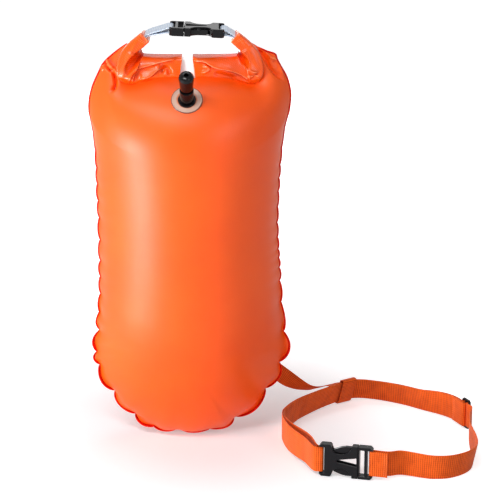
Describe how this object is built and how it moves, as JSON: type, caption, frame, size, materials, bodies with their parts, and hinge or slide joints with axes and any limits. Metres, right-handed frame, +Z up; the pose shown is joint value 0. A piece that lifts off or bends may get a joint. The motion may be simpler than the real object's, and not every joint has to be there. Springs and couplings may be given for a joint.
{
  "type": "open water swim buoy",
  "caption": "Inflatable roll-top swim buoy and dry bag with an oral valve, a buckled carry loop, and a tow leash to an adjustable waist belt.",
  "frame": {"origin": "on the ground, under the middle of the lowest edge of the weld rim", "axes": "+Z up along the bag, -Y towards the side with the valve, +X towards the side where the waist belt lies"},
  "size_m": [0.5667, 0.3239, 0.6208],
  "materials": {
    "coated_fabric": "satin orange coated fabric with a fine weave",
    "weld_edge": "darker red welded edge, satin",
    "rolled_fabric": "satin orange coated fabric, rolled up",
    "white_tape": "plain white tape",
    "pale_webbing": "pale blue-white translucent webbing",
    "orange_webbing": "ribbed orange webbing",
    "black_plastic": "satin black moulded plastic",
    "glossy_black_plastic": "glossy black plastic",
    "clear_flange": "milky translucent soft plastic",
    "pale_seal": "soft pale rubber",
    "steel": "bright steel"
  },
  "bodies": {
    "buoy": {"front_panel": "coated_fabric", "back_panel": "coated_fabric", "weld_rim": "weld_edge", "rolled_mouth": "rolled_fabric", "mouth_stiffener": "white_tape", "closure_tab_left": "pale_webbing", "closure_tab_right": "pale_webbing", "closure_buckle_female": "black_plastic", "closure_buckle_male": "black_plastic", "valve_flange": "clear_flange", "valve_tube": "glossy_black_plastic", "valve_spring": "steel", "anchor_patch": "coated_fabric", "ring_keeper": "orange_webbing"},
    "valve_plunger": {"valve_mouthpiece": "glossy_black_plastic", "valve_stem": "glossy_black_plastic", "valve_seal": "pale_seal"},
    "ring": {"leash_ring": "steel"},
    "belt": {"tow_leash": "orange_webbing", "waist_strap": "orange_webbing", "strap_slider": "black_plastic", "belt_buckle_female": "black_plastic", "belt_buckle_male": "black_plastic"},
    "belt_upper_arm": {"belt_latch_upper": "black_plastic"},
    "belt_lower_arm": {"belt_latch_lower": "black_plastic"},
    "closure_front_arm": {"closure_latch_front": "black_plastic"},
    "closure_rear_arm": {"closure_latch_rear": "black_plastic"}
  },
  "joints": [
    {"name": "valve_press", "type": "slide", "parent": "buoy", "child": "valve_plunger", "axis": [0, 0.622, -0.783], "range_m": [0, 0.003], "stiffness_N_per_m": 400, "springref_m": -0.002, "deforming": ["valve_spring"]},
    {"name": "ring_swing", "type": "hinge", "parent": "buoy", "child": "ring", "pos_m": [0.06535, 0.06299, 0.09684], "axis": [0, 0, 1], "range_deg": [0, 40]},
    {"name": "leash_swing", "type": "hinge", "parent": "ring", "child": "belt", "pos_m": [0.07933, 0.06382, 0.09684], "axis": [0, 0, 1], "range_deg": [0, 40]},
    {"name": "belt_latch_upper_squeeze", "type": "hinge", "parent": "belt", "child": "belt_upper_arm", "pos_m": [0.23991, -0.16344, 0.0398], "axis": [-0.225, -0.9744, 0], "range_deg": [0, 13], "stiffness_Nm_per_rad": 0.03},
    {"name": "belt_latch_lower_squeeze", "type": "hinge", "parent": "belt", "child": "belt_lower_arm", "pos_m": [0.23991, -0.16344, 0.0092], "axis": [0.225, 0.9744, 0], "range_deg": [0, 13], "stiffness_Nm_per_rad": 0.03},
    {"name": "closure_latch_front_squeeze", "type": "hinge", "parent": "buoy", "child": "closure_front_arm", "pos_m": [-0.00178, -0.0153, 0.61372], "axis": [0.0471, 0, 0.9989], "range_deg": [0, 13], "stiffness_Nm_per_rad": 0.03},
    {"name": "closure_latch_rear_squeeze", "type": "hinge", "parent": "buoy", "child": "closure_rear_arm", "pos_m": [-0.00178, 0.0153, 0.61372], "axis": [-0.0471, 0, -0.9989], "range_deg": [0, 13], "stiffness_Nm_per_rad": 0.03}
  ],
  "couplings": [
    {"joint": "belt_latch_lower_squeeze", "follows": "belt_latch_upper_squeeze", "ratio": 1},
    {"joint": "closure_latch_rear_squeeze", "follows": "closure_latch_front_squeeze", "ratio": 1}
  ]
}
